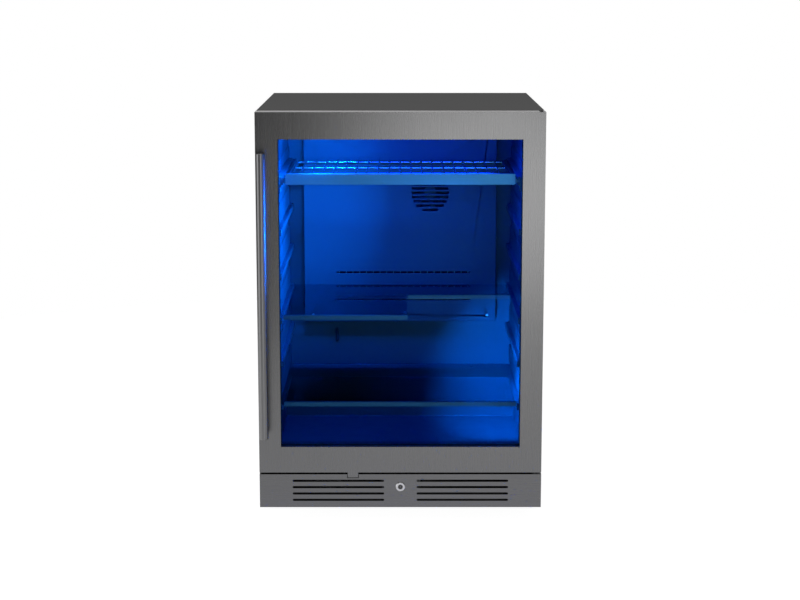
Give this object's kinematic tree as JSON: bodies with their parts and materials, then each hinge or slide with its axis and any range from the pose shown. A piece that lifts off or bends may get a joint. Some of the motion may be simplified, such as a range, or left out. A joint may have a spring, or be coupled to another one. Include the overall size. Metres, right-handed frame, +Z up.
{
  "type": "undercounter refrigerator",
  "caption": "Undercounter refrigerator with a hinged glass door, bar handle, slotted toe grille with key lock, sliding rack, glass shelves and a lit ribbed interior.",
  "frame": {"origin": "centre of the footprint on the floor, handle included", "axes": "+Z up, the door faces -Y, +X to the right seen from the front"},
  "size_m": [0.595, 0.637, 0.867],
  "materials": {
    "black_steel": "brushed, dark",
    "zinc_steel": "satin zinc",
    "screw_steel": "plain",
    "leg_steel": "matt moulded foot on a steel stud",
    "lock_chrome": "bright",
    "wire_chrome": "bright",
    "trim_steel": "brushed",
    "liner_plastic": "moulded satin black",
    "black_plastic": "satin",
    "black_paint": "semi-gloss",
    "black_rubber": "matt",
    "foam": "rigid foam",
    "door_glass": "clear",
    "shelf_glass": "clear tempered",
    "coil_aluminium": "plain fins",
    "copper_tube": "plain copper",
    "blue_light": "lit diffuser"
  },
  "bodies": {
    "cabinet": {"air_divider": "black_plastic", "back_panel": "zinc_steel", "base_pan": "zinc_steel", "compressor": "black_paint", "compressor_grommets": "black_rubber", "condenser_coil": "coil_aluminium", "condenser_fan_motor": "black_paint", "condenser_fan_shroud": "black_paint", "control_panel": "black_plastic", "cutout_shelf_glass": "shelf_glass", "cutout_shelf_trim": "trim_steel", "drain_pan": "black_plastic", "drain_tube": "black_plastic", "evaporator_coil": "coil_aluminium", "evaporator_cover": "liner_plastic", "evaporator_fan_motor": "black_plastic", "filter_drier": "copper_tube", "front_crossmember": "black_steel", "hinge_bracket_bottom": "zinc_steel", "hinge_bracket_top": "zinc_steel", "hinge_pins": "screw_steel", "hinge_screws": "screw_steel", "inner_liner": "liner_plastic", "insulation_foam": "foam", "light_bars": "blue_light", "lock_barrel": "lock_chrome", "lower_shelf_glass": "shelf_glass", "lower_shelf_trim": "trim_steel", "machine_cover": "zinc_steel", "machine_roof": "zinc_steel", "outer_wrap": "black_steel", "panel_screws": "screw_steel", "power_inlet": "black_plastic", "rack_tracks": "liner_plastic", "refrigerant_lines": "copper_tube", "relay_cover": "black_plastic", "temperature_probe": "black_plastic", "toe_grille": "black_steel"},
    "door": {"door_skin": "black_steel", "door_core_frame": "black_plastic", "glass_panes": "door_glass", "glass_spacer": "black_plastic", "glass_seal": "black_rubber", "door_gasket": "black_rubber", "handle_bar": "black_steel", "handle_posts": "black_steel", "handle_screws": "screw_steel", "door_bottom_tab": "black_steel", "hinge_bushes": "black_plastic"},
    "lock": {"lock_plug": "lock_chrome", "lock_cam": "screw_steel"},
    "rack": {"rack_front_trim": "trim_steel", "rack_wires": "wire_chrome", "rack_slides": "trim_steel"},
    "condenser_fan": {"condenser_fan": "black_plastic"},
    "evaporator_fan": {"evaporator_fan": "black_plastic"},
    "leg_front_left": {"leg_front_left": "leg_steel"},
    "leg_front_right": {"leg_front_right": "leg_steel"},
    "leg_rear_left": {"leg_rear_left": "leg_steel"},
    "leg_rear_right": {"leg_rear_right": "leg_steel"}
  },
  "joints": [
    {"name": "door_hinge", "type": "hinge", "parent": "cabinet", "child": "door", "pos_m": [0.285, -0.25, 0.108], "axis": [0, 0, 1], "range_deg": [0, 110]},
    {"name": "lock_turn", "type": "hinge", "parent": "cabinet", "child": "lock", "pos_m": [0, -0.2765, 0.077], "axis": [0, -1, 0], "range_deg": [0, 90]},
    {"name": "rack_slide", "type": "slide", "parent": "cabinet", "child": "rack", "axis": [0, -1, 0], "range_m": [0, 0.06]},
    {"name": "condenser_fan_spin", "type": "hinge", "parent": "cabinet", "child": "condenser_fan", "pos_m": [-0.084, 0.236, 0.108], "axis": [1, 0, 0], "continuous": true},
    {"name": "evaporator_fan_spin", "type": "hinge", "parent": "cabinet", "child": "evaporator_fan", "pos_m": [0.07, 0.254, 0.64], "axis": [0, -1, 0], "continuous": true},
    {"name": "level_front_left", "type": "slide", "parent": "cabinet", "child": "leg_front_left", "axis": [0, 0, -1], "range_m": [0, 0.013]},
    {"name": "level_front_right", "type": "slide", "parent": "cabinet", "child": "leg_front_right", "axis": [0, 0, -1], "range_m": [0, 0.013]},
    {"name": "level_rear_left", "type": "slide", "parent": "cabinet", "child": "leg_rear_left", "axis": [0, 0, -1], "range_m": [0, 0.013]},
    {"name": "level_rear_right", "type": "slide", "parent": "cabinet", "child": "leg_rear_right", "axis": [0, 0, -1], "range_m": [0, 0.013]}
  ]
}
